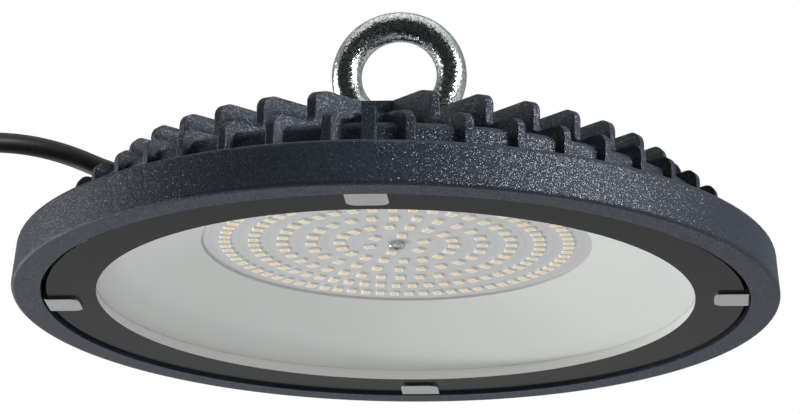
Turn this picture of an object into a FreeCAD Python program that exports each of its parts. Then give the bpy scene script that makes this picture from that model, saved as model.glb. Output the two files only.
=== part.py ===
"""High bay light: a round cast heat sink of stepped parallel fins, hung from an eye bolt.

Heights are measured up from the rim's bottom face, and every piece is set down by the eye's height,
so that the frame's origin is the middle of the eye. +Z is up. The four clips lie on +X, +Y, -X, -Y.
"""
import math
import os

import FreeCAD
import Part
import Sketcher

doc = FreeCAD.newDocument("high_bay_light")
sheet = doc.addObject("Spreadsheet::Sheet", "Sizes")

SIZES = [
    # housing, from the outside inwards (radii and heights in millimetres)
    ("rim_radius", 125.0), ("rim_height", 14.8), ("rim_draft", 1.2), ("rim_wall", 9.5),
    ("rim_bottom_round", 1.2), ("rim_top_round", 1.5),
    ("ledge_width", 14.0), ("ledge_height", 6.5), ("skirt_wall", 4.5),
    ("floor_height", 22.5), ("floor_wall", 4.2), ("shoulder_round", 3.0),
    ("hub_radius", 49.0), ("hub_height", 45.0), ("hub_round", 3.0), ("hub_wall", 3.0), ("roof_wall", 4.0),
    ("boss_radius", 17.0), ("boss_height", 53.8), ("boss_round", 2.0), ("pillar_radius", 9.0),
    # fins: parallel plates in each quadrant, mirrored about its diagonal
    ("fin_pitch", 15.0), ("fin_width", 2.4), ("vee_flat", 10.0),
    ("step_height", 30.1), ("step_reach", 3.0), ("step_round", 4.4),
    ("fin_height", 41.6), ("fin_setback", 10.8), ("fin_round", 4.4), ("fin_foot_round", 2.4),
    ("spur_width", 4.4), ("root_depth", 1.0),
    # glass, seal and clips
    ("glass_gap", 1.7), ("glass_lift", 1.0), ("glass_thick", 4.0), ("seal_width", 11.5), ("seal_inset", 0.3),
    ("clip_width", 13.0), ("clip_thick", 0.8), ("clip_reach", 10.2), ("clip_wall_gap", 0.5),
    ("clip_round", 3.0), ("clip_depth", 2.8), ("hook_length", 1.3), ("slot_clearance", 0.4),
    # optics
    ("board_border", 2.5), ("board_thick", 1.5), ("reflector_radius", 64.0), ("reflector_thick", 0.8),
    ("reflector_foot", 2.3), ("reflector_flange", 3.0), ("flange_clearance", 0.5),
    ("led_length", 3.5), ("led_width", 2.8), ("led_thick", 0.7), ("led_border", 7.6),
    ("board_screw_radius", 1.5), ("board_screw_length", 9.0), ("screw_head_radius", 2.75),
    ("screw_head_height", 1.8), ("screw_head_round", 0.8), ("screw_hole_gap", 0.2), ("recess_width", 2.0),
    ("recess_depth", 1.0),
    ("driver_height", 14.0), ("driver_clearance", 0.3),
    # eye bolt and its washer
    ("eye_radius", 17.5), ("eye_section", 5.0), ("collar_radius", 12.5), ("collar_height", 6.0),
    ("collar_round", 1.5), ("neck_radius", 8.0), ("neck_height", 4.5), ("bolt_radius", 5.0),
    ("bolt_length", 17.0), ("washer_thick", 2.2), ("washer_radius", 9.05), ("washer_gap", 0.2),
    ("washer_slit", 1.5),
    # cable and gland
    ("gland_place", 10.0), ("gland_side", 32.0), ("gland_lift", 10.0), ("tower_length", 14.0),
    ("tower_radius", 10.0), ("gland_thread", 6.0), ("gland_flats", 16.0), ("gland_flange", 4.0),
    ("gland_nose", 7.0), ("cap_round", 2.5), ("cap_gap", 0.2),
    ("wire_way", 4.0),
    ("cable_radius", 3.4), ("cable_gap", 0.15), ("core_radius", 1.2), ("core_spacing", 1.45),
    ("core_length", 32.0),
    ("tower_wall", 2.0), ("slot_side_gap", 0.3), ("glass_round", 0.5), ("gland_spigot", 5.0),
    ("gland_nose_radius", 5.6), ("gland_seal_length", 3.0), ("cap_wall", 2.0), ("cap_flats", 15.0),
    ("cap_grip", 7.0), ("tip_radius", 0.7), ("tip_length", 6.0),
]
for row, (alias, number) in enumerate(SIZES, start=1):
    sheet.set(f"A{row}", alias)
    sheet.set(f"B{row}", str(number))
    sheet.setAlias(f"B{row}", alias)
doc.recompute()


class Size:
    """A length that knows its value now and its formula over the sheet."""

    def __init__(self, value, text):
        self.value = float(value)
        self.text = text

    @staticmethod
    def of(other):
        return other if isinstance(other, Size) else Size(other, repr(float(other)))

    def join(self, other, sign, value):
        return Size(value, f"({self.text} {sign} {Size.of(other).text})")

    def __add__(self, other):
        return self.join(other, "+", self.value + Size.of(other).value)

    def __sub__(self, other):
        return self.join(other, "-", self.value - Size.of(other).value)

    def __mul__(self, other):
        return self.join(other, "*", self.value * Size.of(other).value)

    def __truediv__(self, other):
        return self.join(other, "/", self.value / Size.of(other).value)

    def __neg__(self):
        return self * -1

    __radd__ = __add__
    __rmul__ = __mul__


class Sizes:
    """The sheet's aliases as attributes, such as s.rim_radius."""

    def __getattr__(self, alias):
        return Size(sheet.get(alias), f"Sizes.{alias}")


s = Sizes()
ZERO = Size(0, "0")
QUARTER_TURN = 90
CLIP_SIDES = ("right", "back", "left", "front")
LEDS_PER_RING = (6, 18, 24, 36, 54, 72)
LED_START_ANGLES = (44.8, 7.5, 17.8, 2.6, 1.3, 0.2)

# places that several pieces share
recess_radius = s.rim_radius - s.rim_wall
cavity_radius = recess_radius - s.ledge_width
shoulder_radius = cavity_radius + s.skirt_wall
floor_top = s.floor_height + s.floor_wall
roof_under = s.hub_height - s.roof_wall
driver_bay_radius = s.hub_radius - s.hub_wall
fin_radius = shoulder_radius - s.fin_setback
glass_radius = recess_radius - s.glass_gap
glass_top = s.glass_lift + s.glass_thick
board_face = s.floor_height - s.board_thick
board_radius = s.reflector_radius + s.board_border
eye_height = s.boss_height + s.washer_thick + s.eye_radius + s.eye_section
gland_height = s.hub_height + s.gland_lift
tower_mouth = s.gland_place + s.tower_length


# ---- helpers -------------------------------------------------------------------------------------

def bind(thing, field, size):
    """Tie one property to its formula over the sheet."""
    thing.setExpression(field, Size.of(size).text)


def origin_plane(body, role):
    return next(part for part in body.Origin.OriginFeatures if part.Role == role)


def new_body(label):
    body = doc.addObject("PartDesign::Body", label)
    body.Label = label
    return body


def new_sketch(body, name, role="XZ_Plane", height=None):
    """A sketch on one of the body's own origin planes, lifted by height."""
    sketch = body.newObject("Sketcher::SketchObject", name)
    sketch.AttachmentSupport = [(origin_plane(body, role), "")]
    sketch.MapMode = "FlatFace"
    if height is not None:
        bind(sketch, "AttachmentOffset.Base.z", height)
    return sketch


def hold(sketch, line, end, place):
    """Hold one end of a line at its two distances from the sketch's origin."""
    for kind, axis, size in (("DistanceX", -2, place[0]), ("DistanceY", -1, place[1])):
        if size.text == "0":
            sketch.addConstraint(Sketcher.Constraint("PointOnObject", line, end, axis))
            continue
        index = sketch.addConstraint(Sketcher.Constraint(kind, -1, 1, line, end, size.value))
        sketch.setExpression(f"Constraints[{index}]", size.text)


def heading(start, end):
    """The direction, along one axis, from a corner to its neighbour."""
    across, up = end[0].value - start[0].value, end[1].value - start[1].value
    if abs(across) > abs(up):
        return math.copysign(1, across), 0
    return 0, math.copysign(1, up)


def draw(sketch, corners):
    """Close an outline through its corners (x, y) or (x, y, radius), the last rounding the corner."""
    corners = [[Size.of(value) for value in corner] for corner in corners]
    stops = []
    for number, corner in enumerate(corners):
        if len(corner) == 2:
            stops.append((corner, None))
            continue
        radius = corner[2]
        back = heading(corner, corners[number - 1])
        ahead = heading(corner, corners[(number + 1) % len(corners)])
        first = [corner[axis] + radius * back[axis] if back[axis] else corner[axis] for axis in (0, 1)]
        last = [corner[axis] + radius * ahead[axis] if ahead[axis] else corner[axis] for axis in (0, 1)]
        middle = [corner[axis].value + radius.value * (back[axis] + ahead[axis]) for axis in (0, 1)]
        stops.append((first, (middle, radius)))
        stops.append((last, None))
    places = [FreeCAD.Vector(stop[0][0].value, stop[0][1].value) for stop in stops]
    base = sketch.GeometryCount
    count = len(stops)
    for number, (_, arc) in enumerate(stops):
        start, end = places[number], places[(number + 1) % count]
        if arc is None:
            sketch.addGeometry(Part.LineSegment(start, end))
            continue
        middle, radius = FreeCAD.Vector(*arc[0]), arc[1].value
        crown = middle + ((start + end) * 0.5 - middle).normalize() * radius
        sketch.addGeometry(Part.Arc(start, crown, end))
    for number, (place, arc) in enumerate(stops):
        line, before = base + number, base + (number - 1) % count
        arc_before = stops[(number - 1) % count][1]
        # an arc may be stored turned round, so its ends are found by their places
        own_end = end_at(sketch, line, places[number])
        far_end = end_at(sketch, before, places[number])
        hold(sketch, line, own_end, place)
        sketch.addConstraint(Sketcher.Constraint("Coincident", before, far_end, line, own_end))
        if arc is not None:
            index = sketch.addConstraint(Sketcher.Constraint("Radius", line, arc[1].value))
            sketch.setExpression(f"Constraints[{index}]", arc[1].text)


def end_at(sketch, line, place):
    """Which end of a line or arc, 1 or 2, lies at a place."""
    reach = [(sketch.getPoint(line, end) - place).Length for end in (1, 2)]
    return 1 + reach.index(min(reach))


def turned(body, name, corners, cut=False):
    """A full revolution about the body's Z axis, added or cut away."""
    sketch = new_sketch(body, name + "_outline")
    draw(sketch, corners)
    kind = "PartDesign::Groove" if cut else "PartDesign::Revolution"
    feature = body.newObject(kind, name)
    feature.Profile = sketch
    feature.ReferenceAxis = (sketch, ["V_Axis"])
    feature.Angle = 360
    sketch.Visibility = False
    return feature


def padded(body, name, outlines, length, role="XY_Plane", height=None, middle=False):
    """A straight pad of one or more outlines."""
    sketch = new_sketch(body, name + "_outline", role, height)
    for corners in outlines:
        draw(sketch, corners)
    feature = body.newObject("PartDesign::Pad", name)
    feature.Profile = sketch
    bind(feature, "Length", length)
    if middle:
        feature.SideType = "Symmetric"
    sketch.Visibility = False
    return feature


def set_down(piece):
    """Put a piece that is modelled from the rim's bottom face into the eye's frame."""
    bind(piece, "Placement.Base.z", -eye_height)
    return piece


def box(name, x, y, low, high, across):
    """A block between two x places and two heights, centred on y."""
    block = doc.addObject("Part::Box", name)
    bind(block, "Length", x[1] - x[0])
    bind(block, "Width", across)
    bind(block, "Height", high - low)
    bind(block, "Placement.Base.x", x[0])
    bind(block, "Placement.Base.y", y - across / 2)
    bind(block, "Placement.Base.z", low)
    return block


def rod(name, radius, length, along="Z"):
    """A cylinder along +Z, or along -X when asked."""
    cylinder = doc.addObject("Part::Cylinder", name)
    bind(cylinder, "Radius", radius)
    bind(cylinder, "Height", length)
    if along == "-X":
        cylinder.Placement.Rotation = FreeCAD.Rotation(FreeCAD.Vector(0, 1, 0), -QUARTER_TURN)
    return cylinder


def joined(kind, label, shapes):
    """A boolean of several objects: MultiFuse of them all, or Cut of the first by the second."""
    result = doc.addObject(kind, label)
    result.Label = label
    if kind == "Part::Cut":
        result.Base, result.Tool = shapes
    else:
        result.Shapes = shapes
    for shape in shapes:
        shape.Visibility = False
    return result


def side_box(name, side, inner, outer, low, high, across):
    """A block that spans inner to outer along one of the four clip axes."""
    turn = side * QUARTER_TURN
    cosine, sine = round(math.cos(math.radians(turn))), round(math.sin(math.radians(turn)))
    block = doc.addObject("Part::Box", f"{name}_{CLIP_SIDES[side]}")
    block.Placement.Rotation = FreeCAD.Rotation(FreeCAD.Vector(0, 0, 1), turn)
    bind(block, "Length", outer - inner)
    bind(block, "Width", across)
    bind(block, "Height", high - low)
    bind(block, "Placement.Base.x", inner * cosine + across * sine / 2)
    bind(block, "Placement.Base.y", inner * sine - across * cosine / 2)
    bind(block, "Placement.Base.z", low)
    return block


def edges_where(feature, test):
    """Names of a feature's straight edges whose two ends pass a test."""
    doc.recompute()
    names = []
    for number, edge in enumerate(feature.Shape.Edges, start=1):
        if len(edge.Vertexes) == 2 and test(edge.Vertexes[0].Point, edge.Vertexes[1].Point):
            names.append(f"Edge{number}")
    return names


# ---- housing: one casting ------------------------------------------------------------------------

ROOT_TWO = math.sqrt(2)


def housing_shell():
    """Rim, shoulder, floor, hub, boss and pillar in one turned section."""
    bolt_hole_end = s.boss_height + s.washer_thick - s.bolt_length
    screw_hole_end = board_face + s.board_screw_length
    body = new_body("housing_shell")
    turned(body, "shell_section", [
        (recess_radius, ZERO),
        (s.rim_radius, ZERO, s.rim_bottom_round),
        (s.rim_radius - s.rim_draft, s.rim_height, s.rim_top_round),
        (shoulder_radius, s.rim_height),
        (shoulder_radius, floor_top, s.shoulder_round),
        (s.hub_radius, floor_top),
        (s.hub_radius, s.hub_height, s.hub_round),
        (s.boss_radius, s.hub_height),
        (s.boss_radius, s.boss_height, s.boss_round),
        (s.bolt_radius, s.boss_height),
        (s.bolt_radius, bolt_hole_end),
        (ZERO, bolt_hole_end),
        (ZERO, screw_hole_end),
        (s.board_screw_radius, screw_hole_end),
        (s.board_screw_radius, s.floor_height),
        (s.pillar_radius, s.floor_height),
        (s.pillar_radius, roof_under),
        (driver_bay_radius, roof_under),
        (driver_bay_radius, s.floor_height),
        (cavity_radius, s.floor_height),
        (cavity_radius, s.ledge_height),
        (recess_radius, s.ledge_height),
    ])
    return body


def plate_plan(number, mirrored):
    """One plate in plan: it leaves the clip axis at 45 degrees, with a small flat inside the vee."""
    offset = s.fin_pitch * (number + 0.5)
    near = (offset - s.fin_width / 2) * ROOT_TWO
    far = (offset + s.fin_width / 2) * ROOT_TWO
    flat = s.vee_flat / 2
    reach = s.rim_radius / ROOT_TWO
    corners = [(near, ZERO), (far + flat, ZERO), (far + flat, flat), (far + reach, reach),
               (near + reach, reach)]
    return [(y, x) for x, y in reversed(corners)] if mirrored else corners


def plate_count(radius):
    """How many plates a side have their vee inside a radius."""
    return int(radius.value / ROOT_TWO / s.fin_pitch.value + 0.5)


def housing_fins():
    """All the plates: padded in one quadrant, turned four times, then trimmed to a stepped crown."""
    low = s.rim_height - s.root_depth
    crown = s.fin_height + s.root_depth
    outer = shoulder_radius + s.step_reach
    beyond = s.rim_radius * 2
    above = s.boss_height * 2
    body = new_body("housing_fins")
    steps = [plate_plan(number, side) for number in range(plate_count(shoulder_radius)) for side in (0, 1)]
    fins = [plate_plan(number, side) for number in range(plate_count(fin_radius - s.fin_round))
            for side in (0, 1)]
    step_pad = padded(body, "step_plates", steps, s.step_height - low, height=low)
    fin_pad = padded(body, "fin_plates", fins, crown - low, height=low)
    pattern = body.newObject("PartDesign::PolarPattern", "quadrants")
    pattern.Originals = [step_pad, fin_pad]
    pattern.Axis = (origin_plane(body, "Z_Axis"), [""])
    pattern.Angle = 360
    pattern.Occurrences = len(CLIP_SIDES)
    body.Tip = pattern
    turned(body, "crown_trim", [
        (outer, ZERO),
        (outer, s.step_height, s.step_round),
        (fin_radius, s.step_height, s.fin_foot_round),
        (fin_radius, s.fin_height, s.fin_round),
        (s.hub_radius - s.hub_wall, s.fin_height),
        (s.hub_radius - s.hub_wall, above),
        (beyond, above),
        (beyond, ZERO),
    ], cut=True)
    turned(body, "inner_trim", [
        (ZERO, ZERO),
        (shoulder_radius - s.root_depth, ZERO),
        (shoulder_radius - s.root_depth, floor_top - s.root_depth),
        (s.hub_radius - s.root_depth, floor_top - s.root_depth),
        (s.hub_radius - s.root_depth, above),
        (ZERO, above),
    ], cut=True)
    return body


def housing_spurs():
    """A short square web on each clip axis, from the outermost vee across the shoulder."""
    last = plate_count(shoulder_radius) - 1
    vee = (s.fin_pitch * (last + 0.5)) * ROOT_TWO
    low = s.rim_height - s.root_depth
    outer = shoulder_radius + s.step_reach
    return [side_box("spur", side, vee, outer, floor_top - s.root_depth, s.step_height, s.spur_width)
            for side in range(len(CLIP_SIDES))] + [
            side_box("spur_foot", side, shoulder_radius - s.root_depth, outer, low, floor_top, s.spur_width)
            for side in range(len(CLIP_SIDES))]


def gland_tower():
    """The round-topped block on the hub that carries the cable gland."""
    drum = rod("tower_drum", s.tower_radius, s.tower_length, along="-X")
    bind(drum, "Placement.Base.x", -s.gland_place)
    bind(drum, "Placement.Base.y", s.gland_side)
    bind(drum, "Placement.Base.z", gland_height)
    foot = box("tower_foot", (-tower_mouth, -s.gland_place), s.gland_side,
               s.hub_height - s.hub_round, gland_height, s.tower_radius * 2)
    return [drum, foot]


def gland_holes():
    """The threaded mouth of the tower and the way for the wires down into the driver bay."""
    depth = s.tower_length - s.tower_wall
    mouth = rod("gland_mouth", s.gland_thread, depth, along="-X")
    bind(mouth, "Placement.Base.x", depth - tower_mouth)
    bind(mouth, "Placement.Base.y", s.gland_side)
    bind(mouth, "Placement.Base.z", gland_height)
    way = rod("wire_way_hole", s.wire_way, gland_height - roof_under + s.root_depth)
    bind(way, "Placement.Base.x", depth - tower_mouth - s.wire_way)
    bind(way, "Placement.Base.y", s.gland_side)
    bind(way, "Placement.Base.z", roof_under - s.root_depth)
    return [mouth, way]


def clip_slots():
    """Four slots in the ledge for the clips' legs, each with an undercut for the hook."""
    leg_inner = recess_radius - s.clip_wall_gap - s.clip_thick - s.slot_side_gap
    top = s.ledge_height + s.clip_depth + s.slot_clearance + s.clip_thick
    wide = s.clip_width + s.slot_clearance * 2
    blocks = []
    for side in range(len(CLIP_SIDES)):
        blocks.append(side_box("clip_slot", side, leg_inner, recess_radius + s.slot_side_gap,
                               s.ledge_height - s.root_depth, top, wide))
        blocks.append(side_box("hook_pocket", side, recess_radius,
                               recess_radius - s.clip_wall_gap + s.hook_length + s.slot_clearance,
                               s.ledge_height + s.clip_depth, top, wide))
    return blocks


def build_housing():
    metal = joined("Part::MultiFuse", "housing_metal",
                   [housing_shell(), housing_fins()] + housing_spurs() + gland_tower())
    holes = joined("Part::MultiFuse", "housing_holes", gland_holes() + clip_slots())
    return [set_down(joined("Part::Cut", "housing", [metal, holes]))]


# ---- eye bolt ------------------------------------------------------------------------------------

def build_eye_bolt():
    """A lifting eye: ring, neck, collar and threaded shank in one forging, on a spring washer."""
    collar_base = s.boss_height + s.washer_thick
    ring = doc.addObject("Part::Torus", "eye_ring")
    bind(ring, "Radius1", s.eye_radius)
    bind(ring, "Radius2", s.eye_section)
    ring.Placement.Rotation = FreeCAD.Rotation(FreeCAD.Vector(1, 0, 0), QUARTER_TURN)
    bind(ring, "Placement.Base.z", eye_height)
    stem = new_body("eye_stem")
    turned(stem, "stem_section", [
        (ZERO, collar_base - s.bolt_length),
        (s.bolt_radius, collar_base - s.bolt_length),
        (s.bolt_radius, collar_base),
        (s.collar_radius, collar_base),
        (s.collar_radius, collar_base + s.collar_height, s.collar_round),
        (s.neck_radius + s.collar_round, collar_base + s.collar_height),
        (s.neck_radius, collar_base + s.collar_height + s.neck_height),
        (ZERO, collar_base + s.collar_height + s.neck_height),
    ])
    eye = joined("Part::MultiFuse", "eye_bolt", [ring, stem])
    ring_body = new_body("washer_ring")
    turned(ring_body, "washer_section", [
        (s.bolt_radius + s.washer_gap, s.boss_height),
        (s.washer_radius, s.boss_height),
        (s.washer_radius, collar_base),
        (s.bolt_radius + s.washer_gap, collar_base),
    ])
    slit = box("washer_slit_cut", (ZERO, s.washer_radius * 2), ZERO, s.boss_height, collar_base, s.washer_slit)
    washer = joined("Part::Cut", "spring_washer", [ring_body, slit])
    return [set_down(eye), set_down(washer)]


# ---- glass, seal and clips -----------------------------------------------------------------------

def build_glass():
    glass = new_body("glass_lens")
    turned(glass, "glass_section", [
        (ZERO, s.glass_lift),
        (glass_radius, s.glass_lift, s.glass_round),
        (glass_radius, glass_top, s.glass_round),
        (ZERO, glass_top),
    ])
    seal = new_body("glass_seal")
    outer = glass_radius - s.seal_inset
    turned(seal, "seal_section", [
        (outer - s.seal_width, glass_top),
        (outer, glass_top),
        (outer, s.ledge_height),
        (outer - s.seal_width, s.ledge_height),
    ])
    return [set_down(glass), set_down(seal)]


def build_clip(side):
    """A folded strip: a tongue under the glass, a leg up past its edge and a hook in the housing."""
    label = f"clip_{CLIP_SIDES[side]}"
    inner = glass_radius - s.clip_reach
    outer = recess_radius - s.clip_wall_gap
    low = s.glass_lift - s.clip_thick
    hook = s.ledge_height + s.clip_depth
    body = new_body(label)
    strip = padded(body, f"{label}_strip", [[
        (inner, low),
        (outer, low, s.clip_thick),
        (outer, hook),
        (outer + s.hook_length, hook),
        (outer + s.hook_length, hook + s.clip_thick),
        (outer - s.clip_thick, hook + s.clip_thick),
        (outer - s.clip_thick, s.glass_lift),
        (inner, s.glass_lift),
    ]], s.clip_width, role="XZ_Plane", middle=True)
    corners = body.newObject("PartDesign::Fillet", f"{label}_corners")
    corners.Base = (strip, edges_where(strip, lambda one, two: abs(one.z - two.z) > s.clip_thick.value / 2
                                       and max(one.x, two.x) < inner.value + s.clip_thick.value / 2))
    bind(corners, "Radius", s.clip_round)
    body.Placement.Rotation = FreeCAD.Rotation(FreeCAD.Vector(0, 0, 1), side * QUARTER_TURN)
    return set_down(body)


# ---- optics and driver ---------------------------------------------------------------------------

def build_reflector():
    """A thin white cone from a foot on the LED board down to a flange on the glass."""
    top = board_face
    foot = s.reflector_radius + s.reflector_foot
    rim = cavity_radius - s.flange_clearance
    flange = rim - s.reflector_flange
    body = new_body("reflector")
    turned(body, "reflector_section", [
        (s.reflector_radius, top - s.reflector_thick),
        (flange, glass_top),
        (rim, glass_top),
        (rim, glass_top + s.reflector_thick),
        (flange + s.reflector_thick, glass_top + s.reflector_thick),
        (foot, top),
        (s.reflector_radius, top),
    ])
    return [set_down(body)]


def build_board():
    """The round LED board and the screw in its middle."""
    board = new_body("led_board")
    turned(board, "board_section", [
        (s.board_screw_radius + s.screw_hole_gap, board_face),
        (board_radius, board_face),
        (board_radius, s.floor_height),
        (s.board_screw_radius + s.screw_hole_gap, s.floor_height),
    ])
    low = board_face - s.screw_head_height
    screw = new_body("board_screw")
    turned(screw, "screw_section", [
        (ZERO, low + s.recess_depth),
        (s.recess_width / 2, low + s.recess_depth),
        (s.recess_width / 2, low),
        (s.screw_head_radius, low, s.screw_head_round),
        (s.screw_head_radius, board_face),
        (s.board_screw_radius, board_face),
        (s.board_screw_radius, board_face + s.board_screw_length),
        (ZERO, board_face + s.board_screw_length),
    ])
    return [set_down(board), set_down(screw)]


def build_led_ring(number):
    """One ring of LEDs: a block padded once and turned about the lamp's axis."""
    label = f"led_ring_{number}"
    radius = (s.reflector_radius - s.led_border) * number / len(LEDS_PER_RING)
    half_length, half_width = s.led_length / 2, s.led_width / 2
    body = new_body(label)
    led = padded(body, f"{label}_led", [[
        (radius - half_length, -half_width),
        (radius + half_length, -half_width),
        (radius + half_length, half_width),
        (radius - half_length, half_width),
    ]], s.led_thick, height=board_face - s.led_thick)
    ring = body.newObject("PartDesign::PolarPattern", f"{label}_turns")
    ring.Originals = [led]
    ring.Axis = (origin_plane(body, "Z_Axis"), [""])
    ring.Angle = 360
    ring.Occurrences = LEDS_PER_RING[number - 1]
    body.Tip = ring
    body.Placement.Rotation = FreeCAD.Rotation(FreeCAD.Vector(0, 0, 1), LED_START_ANGLES[number - 1])
    return set_down(body)


def build_driver():
    """The potted driver, a ring round the pillar, fixed to the bay's roof."""
    body = new_body("driver_module")
    turned(body, "driver_section", [
        (s.pillar_radius + s.driver_clearance, roof_under - s.driver_height),
        (driver_bay_radius - s.driver_clearance, roof_under - s.driver_height),
        (driver_bay_radius - s.driver_clearance, roof_under),
        (s.pillar_radius + s.driver_clearance, roof_under),
    ])
    return [set_down(body)]


# ---- cable and gland -----------------------------------------------------------------------------

def hexagon(flats):
    """The corners of a hexagon of a given width across its flats."""
    corner = flats / math.sqrt(3)
    return [(corner * math.cos(math.radians(angle)), corner * math.sin(math.radians(angle)))
            for angle in range(30, 390, 60)]


def point_along_gland(body):
    """Turn a piece that is modelled upright so that it leaves the tower's mouth along -X."""
    body.Placement.Rotation = FreeCAD.Rotation(FreeCAD.Vector(0, 1, 0), -QUARTER_TURN)
    bind(body, "Placement.Base.x", -tower_mouth)
    bind(body, "Placement.Base.y", s.gland_side)
    bind(body, "Placement.Base.z", gland_height - eye_height)
    return body


def build_gland():
    """Gland body, rubber seal and cap nut, modelled upright with the tower's mouth at z = 0."""
    nose_end = s.gland_flange + s.gland_nose
    seal_end = nose_end + s.gland_seal_length
    cap_end = seal_end + s.cap_wall
    bore = s.cable_radius + s.cable_gap
    gland = new_body("gland_body")
    padded(gland, "gland_flange_hexagon", [hexagon(s.gland_flats)], s.gland_flange)
    turned(gland, "gland_threads", [
        (ZERO, -s.gland_spigot),
        (s.gland_thread, -s.gland_spigot),
        (s.gland_thread, s.gland_flange),
        (s.gland_nose_radius, s.gland_flange),
        (s.gland_nose_radius, nose_end),
        (ZERO, nose_end),
    ])
    turned(gland, "gland_bore", [
        (ZERO, -s.gland_spigot * 2),
        (bore, -s.gland_spigot * 2),
        (bore, nose_end * 2),
        (ZERO, nose_end * 2),
    ], cut=True)
    seal = new_body("gland_seal")
    turned(seal, "gland_seal_section", [
        (s.cable_radius, nose_end),
        (s.gland_nose_radius, nose_end),
        (s.gland_nose_radius, seal_end),
        (s.cable_radius, seal_end),
    ])
    cap = new_body("gland_nut")
    padded(cap, "nut_hexagon", [hexagon(s.cap_flats)], s.cap_grip, height=s.gland_flange)
    turned(cap, "nut_dome", [
        (ZERO, s.gland_flange),
        (s.cap_flats / 2 - s.cap_gap, s.gland_flange),
        (s.cap_flats / 2 - s.cap_gap, cap_end, s.cap_round),
        (ZERO, cap_end),
    ])
    turned(cap, "nut_bore", [
        (ZERO, s.gland_flange),
        (s.gland_nose_radius, s.gland_flange),
        (s.gland_nose_radius, seal_end),
        (bore + s.cap_gap, seal_end),
        (bore + s.cap_gap, cap_end * 2),
        (ZERO, cap_end * 2),
    ], cut=True)
    return [point_along_gland(piece) for piece in (gland, seal, cap)]


def cable_route():
    """The cable's points: along the gland's axis, over the fins, out to the left and down."""
    side, height = s.gland_side.value, gland_height.value
    start = -tower_mouth.value - s.gland_flange.value
    return [FreeCAD.Vector(*place) for place in (
        (start, side, height), (-59, side, height), (-86, 19, 46.5), (-125.5, 12.5, 62.8),
        (-162, -18, 48.5), (-192, -28, 32.5), (-200, -34, 0))]


def tube(points, radius):
    """A solid tube of straight runs joined by tangent arcs, each arc as large as its runs allow."""
    pieces = []
    start = points[0]
    tightest = math.inf
    for before, corner, after in zip(points, points[1:], points[2:]):
        back, ahead = before - corner, after - corner
        half_turn = (math.pi - back.getAngle(ahead)) / 2
        cut = 0.45 * min(back.Length, ahead.Length)
        bend = cut / math.tan(half_turn)
        tightest = min(tightest, bend)
        first = corner + FreeCAD.Vector(back).normalize() * cut
        last = corner + FreeCAD.Vector(ahead).normalize() * cut
        inward = (FreeCAD.Vector(back).normalize() + FreeCAD.Vector(ahead).normalize()).normalize()
        middle = corner + inward * (bend / math.cos(half_turn) - bend)
        pieces.append(Part.LineSegment(start, first).toShape())
        pieces.append(Part.Arc(first, middle, last).toShape())
        start = last
    pieces.append(Part.LineSegment(start, points[-1]).toShape())
    path = Part.Wire(pieces)
    ring = Part.Wire(Part.Circle(points[0], points[1] - points[0], radius).toShape())
    solid = path.makePipeShell([ring], True, False)
    expected = math.pi * radius ** 2 * path.Length
    print(f"cable {path.Length:.1f} mm long, tightest bend {tightest:.1f} mm,",
          f"volume {solid.Volume / expected:.4f} of section times length")
    return solid


def add_shape(label, shape):
    """A part whose shape comes from Part's own functions."""
    feature = doc.addObject("Part::Feature", label)
    feature.Label = label
    feature.Shape = shape
    return set_down(feature)


def build_cable():
    """The sheathed cable and, at its open end, three cores with bare tips."""
    points = cable_route()
    out = (points[-1] - points[-2]).normalize()
    aside = out.cross(FreeCAD.Vector(0, 1, 0)).normalize()
    up = out.cross(aside)
    pieces = [add_shape("cable", tube(points, s.cable_radius.value))]
    tips = []
    for number, name in enumerate(("live", "neutral", "earth")):
        angle = math.radians(120 * number)
        place = points[-1] + (aside * math.cos(angle) + up * math.sin(angle)) * s.core_spacing.value
        core = Part.makeCylinder(s.core_radius.value, s.core_length.value, place, out)
        pieces.append(add_shape(f"core_{name}", core))
        tip_base = place + out * s.core_length.value
        tips.append(Part.makeCylinder(s.tip_radius.value, s.tip_length.value, tip_base, out))
    pieces.append(add_shape("core_tips", Part.makeCompound(tips)))
    return pieces


# ---- build, check and write ----------------------------------------------------------------------

nodes = build_housing() + build_eye_bolt() + build_glass()
nodes += [build_clip(side) for side in range(len(CLIP_SIDES))]
nodes += build_reflector() + build_board()
nodes += [build_led_ring(number) for number in range(1, len(LEDS_PER_RING) + 1)]
nodes += build_driver() + build_gland() + build_cable()

doc.recompute()
for thing in doc.Objects:
    if "Invalid" in thing.State or "Error" in thing.State:
        raise RuntimeError(f"{thing.Label} did not build: {thing.State}")
for node in nodes:
    if node.Shape.isNull() or not node.Shape.isValid():
        raise RuntimeError(f"{node.Label} has no valid shape")

os.makedirs("parts", exist_ok=True)
for node in nodes:
    node.Shape.exportStep(f"parts/{node.Label}.step")
    print(f"{node.Label:16s} {len(node.Shape.Solids):3d} solids {node.Shape.Volume / 1000:9.2f} cm3")
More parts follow.
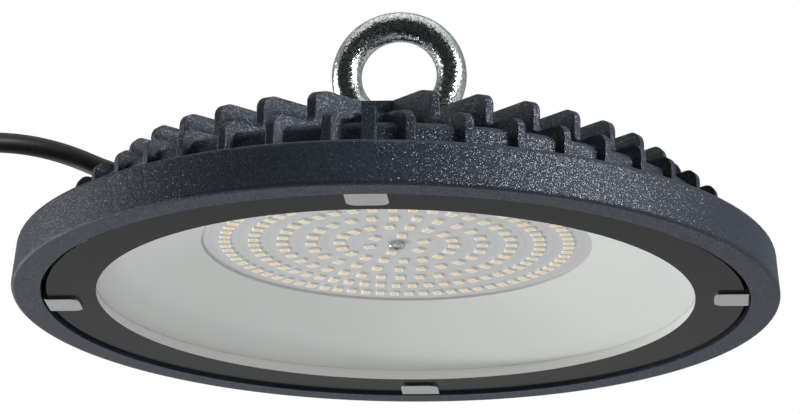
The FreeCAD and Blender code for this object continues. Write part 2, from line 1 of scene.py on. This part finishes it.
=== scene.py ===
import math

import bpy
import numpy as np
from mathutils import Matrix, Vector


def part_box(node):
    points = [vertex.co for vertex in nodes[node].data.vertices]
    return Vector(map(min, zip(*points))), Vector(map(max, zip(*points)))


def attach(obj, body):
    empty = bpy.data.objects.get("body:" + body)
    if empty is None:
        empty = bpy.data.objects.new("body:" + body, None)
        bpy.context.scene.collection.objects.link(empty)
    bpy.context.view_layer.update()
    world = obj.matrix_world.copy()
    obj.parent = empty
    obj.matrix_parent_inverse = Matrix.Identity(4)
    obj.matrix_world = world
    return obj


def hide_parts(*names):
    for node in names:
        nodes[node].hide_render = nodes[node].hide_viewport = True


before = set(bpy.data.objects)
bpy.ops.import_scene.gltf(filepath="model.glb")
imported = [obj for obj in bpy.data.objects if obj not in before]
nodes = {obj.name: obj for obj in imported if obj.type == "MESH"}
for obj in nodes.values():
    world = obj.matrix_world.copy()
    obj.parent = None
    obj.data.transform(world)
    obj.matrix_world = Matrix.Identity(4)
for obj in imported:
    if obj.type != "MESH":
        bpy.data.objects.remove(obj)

# %% [markdown]
# # A high bay light, dressed for the studio
# The lamp is a cast aluminium heat sink with a glass disc below and a lifting eye above. The solids are
# already in place, so this lesson gives them finishes, adds the thin printed and phosphor layers that
# are too fine for solids, and lights the whole. All lengths are in metres and +Z is up.

scene = bpy.context.scene
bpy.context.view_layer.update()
MM = 0.001

# %% [markdown]
# ## Heights and radii
# Every layer that is added here lies on a solid. Its height could be typed in, but it would be wrong
# as soon as the solid moved, so it is read from the solid's own box. The lamp's axis is x = y = 0 and
# the origin is the middle of the eye.

# %% Read the places that the layers need
glass_low, glass_top = (corner.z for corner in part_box("glass_lens"))
glass_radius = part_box("glass_lens")[1].x
led_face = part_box("led_ring_1")[0].z
rim_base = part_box("housing")[0].z
print(f"glass {glass_low:.4f} to {glass_top:.4f}, LED faces {led_face:.4f}, rim {rim_base:.4f}")

# %% [markdown]
# ## Camera
# The lamp hangs, and the viewer stands below it and looks up, so the LED disc shows. A constraint
# could aim the camera at the lamp, but an exact pitch and a slight roll are easier to keep as numbers.
# So the camera is turned about the lamp's axis, pitched up and rolled, and each turn is its own matrix
# so that none disturbs the others. A long lens keeps the rim's ellipse flat.

# %% Place the camera
AROUND, YAW, PITCH, ROLL = 4.8, -0.045, 17.80, 0.917
DISTANCE, DROP = 1.2182, 0.3581
LENS, SENSOR = 175.2, 36.0
camera_data = bpy.data.cameras.new("studio_camera")
camera_data.lens = LENS
camera_data.sensor_width = SENSOR
camera = bpy.data.objects.new("studio_camera", camera_data)
scene.collection.objects.link(camera)
around = Matrix.Rotation(math.radians(AROUND), 4, "Z")
stand = around @ Matrix.Translation((0, -DISTANCE, rim_base - DROP))
aim = Matrix.Rotation(math.radians(YAW), 4, "Z") @ Matrix.Rotation(math.radians(90 + PITCH), 4, "X")
camera.matrix_world = stand @ aim @ Matrix.Rotation(math.radians(ROLL), 4, "Z")
scene.camera = camera
print("camera at", [round(value, 4) for value in camera.matrix_world.translation])

# %% [markdown]
# ## The cable
# A sheathed cable of just under 7 mm leaves the gland, passes over the fins and droops where nothing
# carries it. It could be simulated, but a stiff tail this short holds the shape it was packed in. A
# NURBS curve with few control points suits it, because its curvature changes slowly between them. The
# order is set after the points, or it falls back to 2. The bevel depth is 1, so the radius at each
# point is the cable's own.

# %% Draw the cable as a NURBS curve
CABLE_DIAMETER = 6.8 * MM
CABLE_POINTS = [(-28, 32, 55), (-59, 32, 55), (-86, 19, 46.5), (-125.5, 12.5, 62.8),
                (-162, -18, 48.5), (-192, -28, 32.5), (-200, -34, 0)]
places = np.array(CABLE_POINTS) * MM + (0, 0, rim_base)
curve = bpy.data.curves.new("cable_sheath", "CURVE")
curve.dimensions = "3D"
spline = curve.splines.new("NURBS")
spline.points.add(len(places) - 1)
spline.points.foreach_set("co", np.c_[places, np.ones(len(places))].ravel())
spline.order_u = 3
spline.use_endpoint_u = True
spline.resolution_u = 16
spline.points.foreach_set("radius", np.full(len(places), CABLE_DIAMETER / 2))
curve.bevel_depth = 1.0
curve.bevel_resolution = 6
curve.use_fill_caps = True
cable = bpy.data.objects.new("cable_sheath", curve)
scene.collection.objects.link(cable)
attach(cable, "root")
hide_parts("cable")
print("cable control points:", len(places))

# %% [markdown]
# ## Shader arithmetic
# A finish is arithmetic on textures. It could be wired node by node, which is long to write and hard
# to read. This small class wraps a socket instead, so that a mask is an ordinary expression, such as
# 0.6 - flake * 0.3.

# %% A socket that can be added and multiplied
class Wire:
    """A number that varies over a surface; arithmetic on it adds Math nodes."""

    def __init__(self, finish, socket):
        self.finish = finish
        self.socket = socket

    def math(self, operation, *others):
        """Any Math node with this value first."""
        node = self.finish.node("ShaderNodeMath", {"operation": operation},
                                {0: self, **{place: other for place, other in enumerate(others, 1)}})
        return Wire(self.finish, node.outputs[0])

    def __add__(self, other):
        return self.math("ADD", other)

    def __sub__(self, other):
        return self.math("SUBTRACT", other)

    def __mul__(self, other):
        return self.math("MULTIPLY", other)

    def __truediv__(self, other):
        return self.math("DIVIDE", other)

    def __rsub__(self, other):
        return (self * -1) + other

    __radd__ = __add__
    __rmul__ = __mul__

    def above(self, limit):
        """1 where the value is above the limit and 0 elsewhere."""
        return self.math("GREATER_THAN", limit)

    def below(self, limit):
        """1 where the value is below the limit and 0 elsewhere."""
        return self.math("LESS_THAN", limit)


# %% [markdown]
# ## One class for every finish
# A finish is one material. Constants go straight onto the sockets of its Principled surface. What
# varies could be a painted map on an unwrapped mesh, but these solids have no unwrapping, so it comes
# from textures in object coordinates, and a grain keeps its size in metres on every part.

# %% A finish: one material and the nodes it is made of
class Finish:
    """A material with a Principled surface and short ways to add textures."""

    def __init__(self, name, **settings):
        self.material = bpy.data.materials.new(name)
        self.material.use_nodes = True
        self.tree = self.material.node_tree
        self.surface = next(n for n in self.tree.nodes if n.type == "BSDF_PRINCIPLED")
        for socket, value in settings.items():
            self.surface.inputs[socket.replace("_", " ")].default_value = value
        self.places = self.node("ShaderNodeTexCoord", {}, {}).outputs["Object"]

    def node(self, kind, settings, inputs):
        """Make a node, set it up, then give its sockets their values or links."""
        node = self.tree.nodes.new(kind)
        for field, value in settings.items():
            setattr(node, field, value)
        for socket, value in inputs.items():
            if isinstance(value, Wire):
                value = value.socket
            if isinstance(value, bpy.types.NodeSocket):
                self.tree.links.new(value, node.inputs[socket])
            else:
                node.inputs[socket].default_value = value
        return node

    def feed(self, socket, value):
        """Let a value or colour vary one of the surface's inputs."""
        source = value.socket if isinstance(value, Wire) else value
        self.tree.links.new(source, self.surface.inputs[socket])

    def noise(self, grain, detail=2.0):
        """Soft noise with features about one grain (in metres) across."""
        node = self.node("ShaderNodeTexNoise", {}, {"Vector": self.places, "Scale": 1 / grain,
                                                    "Detail": detail})
        return Wire(self, node.outputs[0])

    def cells(self, grain):
        """Random cells of a size: the distance to each cell's middle and its random colour."""
        node = self.node("ShaderNodeTexVoronoi", {}, {"Vector": self.places, "Scale": 1 / grain})
        return Wire(self, node.outputs["Distance"]), node.outputs["Color"]

    def part(self, vector, letter):
        """One number out of a colour or a place."""
        node = self.node("ShaderNodeSeparateXYZ", {}, {0: vector})
        return Wire(self, node.outputs[letter])

    def blend(self, mask, first, second):
        """A colour that goes from first to second with the mask."""
        node = self.node("ShaderNodeMix", {"data_type": "RGBA"}, {})
        self.tree.links.new(mask.socket, node.inputs[0])
        for place, value in ((6, first), (7, second)):
            if isinstance(value, bpy.types.NodeSocket):
                self.tree.links.new(value, node.inputs[place])
            else:
                node.inputs[place].default_value = (*value, 1.0)
        return node.outputs[2]

    def vector(self, operation, *vectors, **numbers):
        """Arithmetic on colours or directions."""
        inputs = {**dict(enumerate(vectors)), **numbers}
        return self.node("ShaderNodeVectorMath", {"operation": operation}, inputs).outputs[0]

    def bump(self, height, depth, strength=1.0, under=None):
        """Raise the surface by a height map, in metres, over another normal."""
        inputs = {"Height": height, "Distance": depth, "Strength": strength}
        if under is not None:
            inputs["Normal"] = under
        return self.node("ShaderNodeBump", {}, inputs).outputs[0]

    def soft_edges(self, radius):
        """A normal that rounds sharp edges by a radius."""
        return self.node("ShaderNodeBevel", {"samples": 4}, {"Radius": radius}).outputs[0]

    def tilted(self, normal, tint, amount):
        """A normal that leans a little another way in every cell, by the cell's random colour."""
        aside = self.vector("SUBTRACT", tint, (0.5, 0.5, 0.5))
        lean = self.vector("SCALE", aside, Scale=amount)
        return self.vector("NORMALIZE", self.vector("ADD", normal, lean))


def wear(finish, *names):
    """Give a finish to CAD nodes by name."""
    for name in names:
        slots = nodes[name].data.materials
        slots.clear()
        slots.append(finish.material)
    print(finish.material.name, "on", ", ".join(names))


# %% [markdown]
# ## Powder coat
# The casting is coated in dark blue-grey powder with metal flakes. Three things show: a fine orange
# peel, edges that the powder has rounded, and flakes. Pale dots in the colour would show from every
# side, but a real flake flashes only where its own tilt meets the light. So the middle of a Voronoi
# cell is one flake of metal with a random tilt, and some cells have none.

# %% Make the powder coat and put it on the casting
def powder_coat(flake_size=0.17 * MM, cloud_size=9 * MM, peel_size=0.7 * MM, edge_radius=0.6 * MM):
    """A dark matt ground with tilted flakes of metal, under a fine peel that rounds the edges."""
    finish = Finish("powder_coat", Specular_IOR_Level=0.12)
    distance, tint = finish.cells(flake_size)
    flake = distance.below(0.42) * finish.part(tint, "X").above(0.30)
    cloud = finish.noise(cloud_size, detail=3)
    ground = finish.blend(cloud, (0.012, 0.017, 0.026), (0.018, 0.024, 0.035))
    finish.feed("Base Color", finish.blend(flake, ground, (0.100, 0.108, 0.126)))
    finish.feed("Metallic", flake)
    finish.feed("Roughness", 0.60 - flake * 0.30)
    peel = finish.noise(peel_size)
    skin = finish.bump(peel, 0.04 * MM, 0.5, finish.soft_edges(edge_radius))
    finish.feed("Normal", finish.tilted(skin, tint, flake * 0.85))
    return finish


wear(powder_coat(), "housing")

# %% [markdown]
# ## Zinc-plated steel
# The lifting eye is forged and zinc plated, and the plating is a crust of bright crystals. A bump map
# of crystals this small is smoothed away from this far off. So each small cell has its own tone and
# its own slight tilt, and a reflection breaks into speckles at its edges. A slow swell under them
# stands for the forging.

# %% Make the zinc plate
def zinc_plate(crystal_size=0.42 * MM, swell_size=2.4 * MM):
    """Bright metal in small cells, each with its own tone, roughness and tilt, over a slow swell."""
    finish = Finish("zinc_plate", Metallic=1.0, Specular_Tint=(0.62, 0.64, 0.63, 1.0))
    tint = finish.cells(crystal_size)[1]
    spangle = finish.part(tint, "X")
    swell = finish.noise(swell_size)
    finish.feed("Base Color", finish.blend(spangle, (0.26, 0.31, 0.31), (0.74, 0.78, 0.77)))
    finish.feed("Roughness", spangle * 0.10 + 0.13)
    finish.feed("Normal", finish.tilted(finish.bump(swell, 0.30 * MM, 0.5), tint, 0.26))
    return finish


wear(zinc_plate(), "eye_bolt", "spring_washer", "board_screw")

# %% [markdown]
# ## Glass
# The disc is clear tempered glass. A path tracer would cast a dark shadow behind it, so the disc is
# hidden from shadow and diffuse rays. Real glass would also shift the view of the optics behind it.
# Here the index of refraction is close to 1, so the layers stay where they are drawn, and a thin coat
# brings back the reflection.

# %% Make the glass
def clear_glass(smear_size=30 * MM):
    """Glass that bends hardly anything, with a thin coat and a trace of smears."""
    finish = Finish("clear_glass", Base_Color=(0.965, 0.985, 0.975, 1.0), Transmission_Weight=1.0,
                    IOR=1.01, Coat_Weight=0.10, Coat_Roughness=0.02)
    smear = finish.noise(smear_size, detail=3)
    finish.feed("Roughness", smear * 0.03)
    return finish


wear(clear_glass(), "glass_lens")
nodes["glass_lens"].visible_shadow = False
nodes["glass_lens"].visible_diffuse = False

# %% [markdown]
# ## Rubber, plastic and spring steel
# The seal, the gland and the cable are black and differ in little but grain and shine, so one function
# serves them all. The clips are stamped from bright strip with rolling marks that run one way. A noise
# that is stretched along one axis gives such marks without a map.

# %% Make the dark and the bright small parts
def black_rubber(name, grain, shine):
    """Near black with a fine grain; shine is the lowest roughness."""
    finish = Finish(name, Specular_IOR_Level=0.25)
    tone = finish.noise(grain * 6, detail=3)
    finish.feed("Base Color", finish.blend(tone, (0.004, 0.004, 0.005), (0.009, 0.009, 0.010)))
    finish.feed("Roughness", tone * 0.15 + shine)
    finish.feed("Normal", finish.bump(finish.noise(grain), 0.06 * MM, 0.4))
    return finish


def rolled_steel(mark_size=0.5 * MM, stretch=0.08, edge_radius=0.15 * MM):
    """Bright metal with marks drawn out along the lamp's axis."""
    finish = Finish("rolled_steel", Metallic=1.0)
    drawn = finish.node("ShaderNodeMapping", {}, {"Vector": finish.places, "Scale": (1.0, 1.0, stretch)})
    streak = finish.node("ShaderNodeTexNoise", {}, {"Vector": drawn.outputs[0], "Scale": 1 / mark_size,
                                                   "Detail": 2.0})
    marks = Wire(finish, streak.outputs[0])
    finish.feed("Base Color", finish.blend(marks, (0.34, 0.345, 0.34), (0.46, 0.465, 0.455)))
    finish.feed("Roughness", marks * 0.2 + 0.28)
    finish.feed("Normal", finish.bump(marks, 0.03 * MM, 0.3, finish.soft_edges(edge_radius)))
    return finish


wear(black_rubber("seal_rubber", 0.5 * MM, 0.55), "glass_seal", "gland_seal")
wear(black_rubber("gland_plastic", 0.4 * MM, 0.40), "gland_body", "gland_nut", "driver_module")
wear(rolled_steel(), "clip_right", "clip_back", "clip_left", "clip_front")
cable.data.materials.append(black_rubber("cable_rubber", 0.35 * MM, 0.38).material)

# %% [markdown]
# ## White optics
# The reflector is a spun cone in satin white. The LED board is white solder mask over aluminium, and
# the gaps between its copper tracks show faintly as rings between the rows of LEDs. They are far too
# shallow to cut, so they are a mask worked out from the distance to the lamp's axis.

# %% Make the reflector paint and the board
def satin_white(name="satin_white", lift=0.0, cloud_size=40 * MM, grain=0.8 * MM):
    """White paint, cloudy by a hair, with a fine grain; lift is added to its colour."""
    finish = Finish(name, Specular_IOR_Level=0.4)
    tone = finish.noise(cloud_size)
    dim, bright = 0.56 + lift, 0.60 + lift
    finish.feed("Base Color", finish.blend(tone, (dim, dim, dim - 0.01), (bright, bright, bright - 0.01)))
    finish.feed("Roughness", tone * 0.1 + 0.38)
    finish.feed("Normal", finish.bump(finish.noise(grain), 0.03 * MM, 0.2))
    return finish


LED_PITCH = 9.4 * MM


def solder_mask(gap_share=0.035, cloud_size=12 * MM):
    """Rings of the distance to the axis, one between two rows of LEDs, on a cloudy white."""
    finish = Finish("solder_mask", Specular_IOR_Level=0.5)
    across, along = finish.part(finish.places, "X"), finish.part(finish.places, "Y")
    radius = (across * across + along * along).math("SQRT")
    phase = (radius / LED_PITCH).math("FRACT")
    gap = (phase - 0.5).math("ABSOLUTE").below(gap_share)
    tone = finish.noise(cloud_size)
    ground = finish.blend(tone, (0.46, 0.455, 0.455), (0.50, 0.495, 0.495))
    finish.feed("Base Color", finish.blend(gap, ground, (0.44, 0.44, 0.445)))
    finish.feed("Roughness", tone * 0.1 + 0.34)
    finish.feed("Normal", finish.bump(1 - gap, 0.03 * MM, 0.5))
    return finish


wear(satin_white(), "reflector")
wear(solder_mask(), "led_board")

# %% [markdown]
# ## LEDs
# Each LED is a white package 3.5 mm long with a window of yellow phosphor. The packages are solids
# already, in six rings, and only the windows are missing. Every window could be an object of its own,
# but 210 objects are slow to handle, so their places are worked out as two arrays. Each ring's count
# and starting angle give its LEDs their radius and angle.

# %% Work out the ring of each LED
LED_RINGS = [6, 18, 24, 36, 54, 72]
LED_START = [44.8, 7.5, 17.8, 2.6, 1.3, 0.2]
angles = np.concatenate([np.radians(start) + np.arange(count) * 2 * np.pi / count
                         for count, start in zip(LED_RINGS, LED_START)])
radii = np.concatenate([np.full(count, LED_PITCH * ring) for ring, count in enumerate(LED_RINGS, 1)])
print("LEDs:", len(angles), "outermost ring", radii.max())

# %% [markdown]
# ## From arrays to pieces
# A parametric surface is a grid of points, one for each pair of parameters, and quads that join each
# point to its neighbours. It could be built point by point, but whole arrays are shorter to write and
# faster. These two helpers number the quads and turn the arrays into a mesh that moves with the lamp.


# %% Helpers that turn arrays into pieces
def add_piece(name, points, faces, slot, finish):
    """Put an array of points and a list of faces into a smooth mesh that rides on the lamp."""
    mesh = bpy.data.meshes.new(name)
    mesh.from_pydata(points.reshape(-1, 3).tolist(), [], faces)
    mesh.polygons.foreach_set("use_smooth", [True] * len(mesh.polygons))
    mesh.update()
    piece = bpy.data.objects.new(name, mesh)
    scene.collection.objects.link(piece)
    mesh.materials.append(finish.material)
    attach(piece, "root")
    print(name, len(mesh.polygons), "faces")


def grid_faces(rows, columns):
    """Quads of a grid of rows x columns points, numbered row by row. A quad joins a point, the next in
    its row and the two below them, and the last in a row is joined to the first."""
    row, column = np.meshgrid(np.arange(rows - 1), np.arange(columns), indexing="ij")
    ahead = (column + 1) % columns
    return np.stack([row * columns + column, row * columns + ahead,
                     (row + 1) * columns + ahead, (row + 1) * columns + column], -1).reshape(-1, 4)


# %% [markdown]
# ## A rounded rectangle, and copies round the axis
# A phosphor window is a rectangle with soft corners. Bevelled corners would need several settings; a
# superellipse is one formula that goes from an ellipse to a rectangle as its power grows. The copies
# could be instances, but the closing export wants plain meshes, so the points themselves are copied.


# %% Helpers that shape one patch and copy it
def around_axis(patch, radii, angles):
    """Copy a patch, drawn about its own middle with x outwards, to each radius and angle. The radius is
    added to x, and then x cos - y sin and x sin + y cos turn the point about the lamp's axis."""
    cosine, sine = np.cos(angles)[:, None], np.sin(angles)[:, None]
    out = patch[None, :, 0] + radii[:, None]
    side = np.broadcast_to(patch[None, :, 1], out.shape)
    height = np.broadcast_to(patch[None, :, 2], out.shape)
    return np.stack([out * cosine - side * sine, out * sine + side * cosine, height], -1)


def superellipse(half_length, half_width, steps, power=4):
    """x is the half length times the turn's cosine, and y the half width times its sine, each raised to
    2 / power with its sign kept."""
    turn = np.arange(steps) * 2 * np.pi / steps + np.pi / steps
    cosine, sine = np.cos(turn), np.sin(turn)
    return np.stack([half_length * np.sign(cosine) * np.abs(cosine) ** (2 / power),
                     half_width * np.sign(sine) * np.abs(sine) ** (2 / power)], -1)


def copies_of(patch, faces, radii, angles):
    """All copies of a patch as one set of points and faces: each copy's faces are numbered on from the
    last copy's points."""
    points = around_axis(patch, radii, angles)
    shift = np.arange(len(angles))[:, None, None] * len(patch)
    return points, (faces[None] + shift).reshape(-1, faces.shape[1])


# %% [markdown]
# ## Packages and phosphor
# The package is a warm white ceramic, and the phosphor in its window is the colour of pale honey when
# the lamp is off. Flat colours would look printed, so both vary a little, as the LEDs of one reel do.

# %% Make the LED finishes
def led_package(cloud_size=2 * MM):
    """Warm white ceramic."""
    finish = Finish("led_package")
    tone = finish.noise(cloud_size)
    finish.feed("Base Color", finish.blend(tone, (0.80, 0.79, 0.75), (0.88, 0.87, 0.83)))
    finish.feed("Roughness", tone * 0.1 + 0.35)
    return finish


def phosphor(cloud_size=1.2 * MM):
    """Pale honey, a little darker in places."""
    finish = Finish("phosphor")
    tone = finish.noise(cloud_size, detail=3)
    finish.feed("Base Color", finish.blend(tone, (0.78, 0.53, 0.25), (0.84, 0.62, 0.35)))
    finish.feed("Roughness", tone * 0.1 + 0.28)
    return finish


wear(led_package(), *[f"led_ring_{ring}" for ring in range(1, len(LED_RINGS) + 1)])

# %% [markdown]
# ## Windows
# A window is a shallow drop of phosphor that bulges down. A flat patch would do from far off, but a
# dome catches the light on one side. It is three rounded rectangles, each smaller and lower than the
# one before, and one point at the peak. Quads join the rectangles, triangles close the peak, and all
# the domes are one mesh.

# %% Add the phosphor windows
WINDOW_HALF_LENGTH, WINDOW_HALF_WIDTH = 1.38 * MM, 1.05 * MM
WINDOW_STEPS = 12
SHRINK = np.array([1.0, 0.86, 0.45])
BULGE = np.array([0.0, 0.03, 0.045]) * MM
PEAK = 0.05 * MM
outline = superellipse(WINDOW_HALF_LENGTH, WINDOW_HALF_WIDTH, WINDOW_STEPS)
patch = np.concatenate([np.c_[outline * shrink, np.full(WINDOW_STEPS, led_face - bulge)]
                        for shrink, bulge in zip(SHRINK, BULGE)])
patch = np.vstack([patch, [[0, 0, led_face - PEAK]]])
quads = grid_faces(len(SHRINK), WINDOW_STEPS)[:, ::-1]
corner = np.arange(WINDOW_STEPS)
innermost = (len(SHRINK) - 1) * WINDOW_STEPS
peak = np.full(WINDOW_STEPS, len(patch) - 1)
cap = np.stack([peak, innermost + (corner + 1) % WINDOW_STEPS, innermost + corner], -1)
points, faces = copies_of(patch, quads, radii, angles)
cap_faces = copies_of(patch, cap, radii, angles)[1]
add_piece("phosphor_windows", points, faces.tolist() + cap_faces.tolist(), "led_white", phosphor())

# %% [markdown]
# ## Printed border of the glass
# A black frame is printed on the glass and hides the seal and the reflector's flange. It could be a
# mask in the glass's own material, but ink has its own shine, so it is a piece of its own, a hair
# below the glass. It is a flat ring: radius and angle are its two parameters.

# %% Add the printed border
def print_ink(cloud_size=20 * MM):
    """Black ink with the glass's even shine."""
    finish = Finish("print_ink", Roughness=0.18, Specular_IOR_Level=0.022)
    tone = finish.noise(cloud_size)
    finish.feed("Base Color", finish.blend(tone, (0.009, 0.009, 0.010), (0.013, 0.013, 0.014)))
    return finish


TURN_STEPS = 256


def turned_band(stations):
    """A turned surface: x and y are a station's radius times the turn's cosine and sine, and z is its
    height. The quads between the stations face in or down."""
    turn = np.arange(TURN_STEPS) * 2 * np.pi / TURN_STEPS
    radius, height = np.array(stations).T[:, :, None]
    points = np.stack([radius * np.cos(turn), radius * np.sin(turn), height + 0 * turn], -1)
    return points, grid_faces(len(stations), TURN_STEPS)[:, ::-1].tolist()


PRINT_MARGIN, PRINT_GAP = 0.2 * MM, 0.03 * MM
PRINT_MIDDLE, PRINT_INNER = 106 * MM, 97.5 * MM
print_height = glass_low - PRINT_GAP
border = turned_band([(glass_radius - PRINT_MARGIN, print_height), (PRINT_MIDDLE, print_height),
                      (PRINT_INNER, print_height)])
add_piece("glass_print", *border, "black_rubber", print_ink())

# %% [markdown]
# ## Collar behind the print
# The print lies under the glass and the white cone starts above it, so the dark seal would show
# between them. In real glass, which bends the view, the cone seems to reach the print's edge. This
# glass bends nothing, so a short white collar inside it joins the two. It stands upright and catches
# less light than the cone, so its paint is lifted to the same tone.

# %% Add the collar between the print and the reflector
REFLECTOR_MOUTH = 98.4 * MM
COLLAR_INSET, COLLAR_GAP, COLLAR_LIFT = 0.1 * MM, 0.05 * MM, 0.16
collar = turned_band([(PRINT_INNER + COLLAR_INSET, print_height + COLLAR_GAP),
                      (REFLECTOR_MOUTH, glass_top)])
add_piece("print_collar", *collar, "white_paint", satin_white("collar_white", COLLAR_LIFT))

# %% [markdown]
# ## Cores of the cable
# The free end is stripped: three coloured cores with bare copper tips, brown for live, blue for
# neutral and green for earth. They are solids already and need only their colours, each a little
# cloudy, as dyed plastic is.

# %% Colour the cores
def core_plastic(name, colour, cloud_size=3 * MM, shade=0.8):
    """A dyed plastic that is cloudy between its colour and a shade of it."""
    finish = Finish(name, Roughness=0.4)
    tone = finish.noise(cloud_size)
    dark = tuple(value * shade for value in colour)
    finish.feed("Base Color", finish.blend(tone, dark, colour))
    return finish


def copper(strand_size=0.3 * MM):
    """Bare copper whose strands differ in tone and shine."""
    finish = Finish("copper", Metallic=1.0)
    strand = finish.noise(strand_size)
    finish.feed("Base Color", finish.blend(strand, (0.60, 0.30, 0.17), (0.80, 0.45, 0.27)))
    finish.feed("Roughness", strand * 0.2 + 0.2)
    return finish


wear(core_plastic("core_brown", (0.20, 0.075, 0.03)), "core_live")
wear(core_plastic("core_blue", (0.03, 0.14, 0.45)), "core_neutral")
wear(core_plastic("core_green", (0.30, 0.50, 0.05)), "core_earth")
wear(copper(), "core_tips")

# %% [markdown]
# ## Floor
# The lamp hangs far above a pale floor. Its lit face looks down, so what lights that face comes from
# below. A lamp there would glare in the glass, so the floor itself glows softly, and it is wide enough
# to fill the grazing reflection in the black print.

# %% Build the floor
FLOOR_HEIGHT = -4.2
FLOOR_REACH = 35.0
FLOOR_GLOW = 0.5
floor_points = [(x * FLOOR_REACH, y * FLOOR_REACH, FLOOR_HEIGHT)
                for x, y in ((-1, -1), (1, -1), (1, 1), (-1, 1))]
floor_mesh = bpy.data.meshes.new("studio_floor")
floor_mesh.from_pydata(floor_points, [], [(0, 1, 2, 3)])
floor = bpy.data.objects.new("studio_floor", floor_mesh)
scene.collection.objects.link(floor)
floor_paint = Finish("floor_paint", Base_Color=(0.80, 0.80, 0.80, 1.0), Roughness=0.9,
                     Specular_IOR_Level=0.1, Emission_Color=(1.0, 1.0, 1.0, 1.0),
                     Emission_Strength=FLOOR_GLOW)
floor_mesh.materials.append(floor_paint.material)
print("floor at", FLOOR_HEIGHT, "m")

# %% [markdown]
# ## Sky
# The sky is white to the eye, in mirrors and through glass. As a source of light that white would wash
# out every colour, so there it is a quieter grey. The Light Path node tells the rays apart.

# %% Build the sky
SKY_GREY, SKY_LIGHT = (0.96, 0.98, 1.0, 1.0), 0.22
world = bpy.data.worlds.new("studio_sky")
scene.world = world
world.use_nodes = True
tree = world.node_tree
tree.nodes.clear()
output = tree.nodes.new("ShaderNodeOutputWorld")
white = tree.nodes.new("ShaderNodeBackground")
grey = tree.nodes.new("ShaderNodeBackground")
grey.inputs["Color"].default_value = SKY_GREY
grey.inputs["Strength"].default_value = SKY_LIGHT
white.inputs["Color"].default_value = (1, 1, 1, 1)
path = tree.nodes.new("ShaderNodeLightPath")
seen = path.outputs["Is Camera Ray"]
for kind in ("Is Glossy Ray", "Is Transmission Ray"):
    either = tree.nodes.new("ShaderNodeMath")
    either.operation = "MAXIMUM"
    tree.links.new(seen, either.inputs[0])
    tree.links.new(path.outputs[kind], either.inputs[1])
    seen = either.outputs[0]
mix = tree.nodes.new("ShaderNodeMixShader")
tree.links.new(seen, mix.inputs[0])
tree.links.new(grey.outputs[0], mix.inputs[1])
tree.links.new(white.outputs[0], mix.inputs[2])
tree.links.new(mix.outputs[0], output.inputs[0])
print("sky gives light of strength", SKY_LIGHT)

# %% [markdown]
# ## Lamps
# Small hard lamps would draw sharp shadows between the fins, so all the lamps are soft squares. The
# strongest stands in front on the right, so that the flakes sparkle there and the rim darkens towards
# the middle. Weaker ones light the left end, the cone from below, and the tops of the fins.


# %% Hang the lamps
def soft_lamp(name, place, target, size, power):
    """A square area lamp at a place that faces a target."""
    data = bpy.data.lights.new(name, "AREA")
    data.size = size
    data.energy = power
    lamp = bpy.data.objects.new(name, data)
    lamp.location = place
    lamp.rotation_euler = (Vector(target) - Vector(place)).to_track_quat("-Z", "Y").to_euler()
    scene.collection.objects.link(lamp)
    print("lamp", name, power, "W")


soft_lamp("front_right", place=(1.15, -0.60, 0.40), target=(0, 0, -0.05), size=0.45, power=28)
soft_lamp("left", place=(-1.30, 0.10, 0.15), target=(0, 0, -0.05), size=0.60, power=11)
soft_lamp("below_left", place=(-0.8, 0.55, -0.65), target=(0, 0, -0.06), size=0.35, power=8)
soft_lamp("above", place=(0, 0.2, 1.4), target=(0, 0, 0), size=1.2, power=1.5)

# %% [markdown]
# ## Cards
# Dark and grey cards stand round bright metal in a studio, because chrome shows only what surrounds
# it. Cards that every ray meets would also take light from the casting, so only mirror rays meet
# these. The dark one folds round the viewer's side and the grey one round the back.


# %% Stand the cards that only reflections see
def card(name, plan, low, high, grey):
    """An upright card that follows a line in plan, seen by glossy rays alone."""
    corners = [(x, y, height) for x, y in plan for height in (low, high)]
    folds = [(step, step + 1, step + 3, step + 2) for step in range(0, 2 * len(plan) - 2, 2)]
    mesh = bpy.data.meshes.new(name)
    mesh.from_pydata(corners, [], folds)
    piece = bpy.data.objects.new(name, mesh)
    scene.collection.objects.link(piece)
    paint = Finish(name, Base_Color=(0, 0, 0, 1), Roughness=1.0, Specular_IOR_Level=0.0,
                   Emission_Color=(grey, grey, grey, 1), Emission_Strength=1.0)
    mesh.materials.append(paint.material)
    piece.visible_camera = piece.visible_diffuse = piece.visible_shadow = False
    piece.visible_transmission = False
    print(name, "of grey", grey)


SIDE, NEAR, MIDDLE, FAR = 2.6, -2.4, -0.8, 1.3
card("dark_card", [(-SIDE, MIDDLE), (-SIDE, NEAR), (SIDE, NEAR), (SIDE, MIDDLE)],
     low=-2.3, high=3.0, grey=0.035)
card("grey_card", [(-SIDE, MIDDLE), (-SIDE, FAR), (SIDE, FAR), (SIDE, MIDDLE)],
     low=-0.10, high=3.0, grey=0.45)

# %% [markdown]
# ## Last settings
# The Standard view shows colours as they are, where a filmic one would grey the whites.

# %% Set the view and finish
scene.view_settings.view_transform = "Standard"
bpy.context.view_layer.update()
